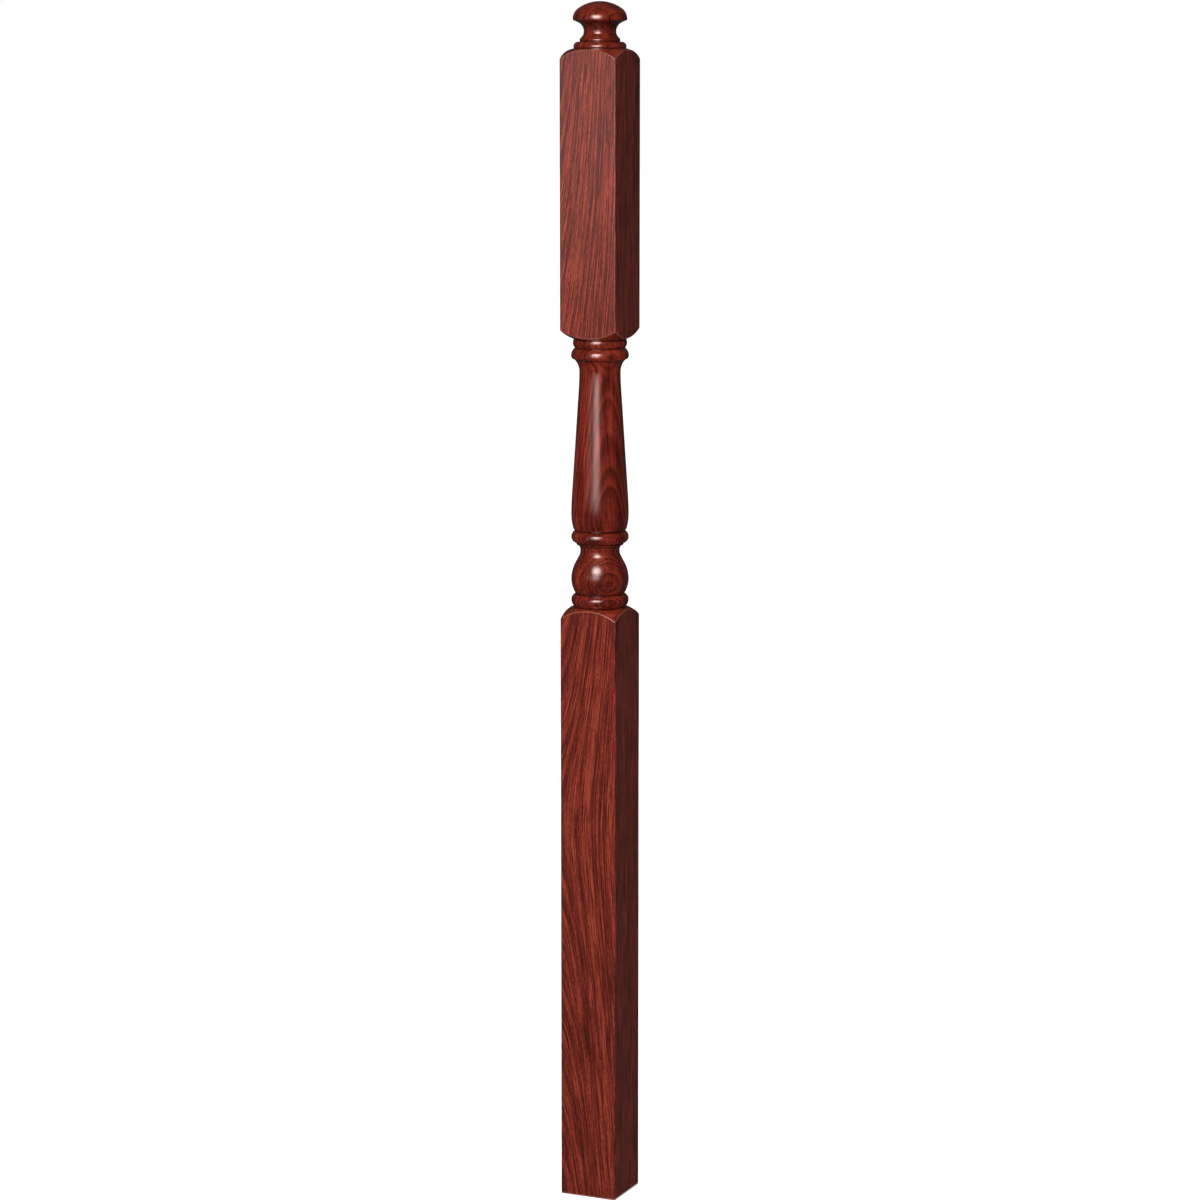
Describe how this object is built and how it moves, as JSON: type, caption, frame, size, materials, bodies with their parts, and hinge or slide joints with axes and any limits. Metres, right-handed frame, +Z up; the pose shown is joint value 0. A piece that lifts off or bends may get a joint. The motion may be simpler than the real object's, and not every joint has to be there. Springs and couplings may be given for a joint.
{
  "type": "landing newel post",
  "caption": "Square timber newel post for a stair landing, turned with a vase and bulb between its blocks, with a domed mushroom cap over a waisted neck.",
  "frame": {"origin": "centre of the foot, in the middle of the bottom face", "axes": "+Z up the post, +X and +Y square to the faces of the blocks"},
  "size_m": [0.0762, 0.0762, 1.524],
  "materials": {
    "stained_oak": "semi-gloss clear lacquer over a dark red stain"
  },
  "bodies": {
    "root": {"newel_post": "stained_oak"}
  },
  "joints": []
}
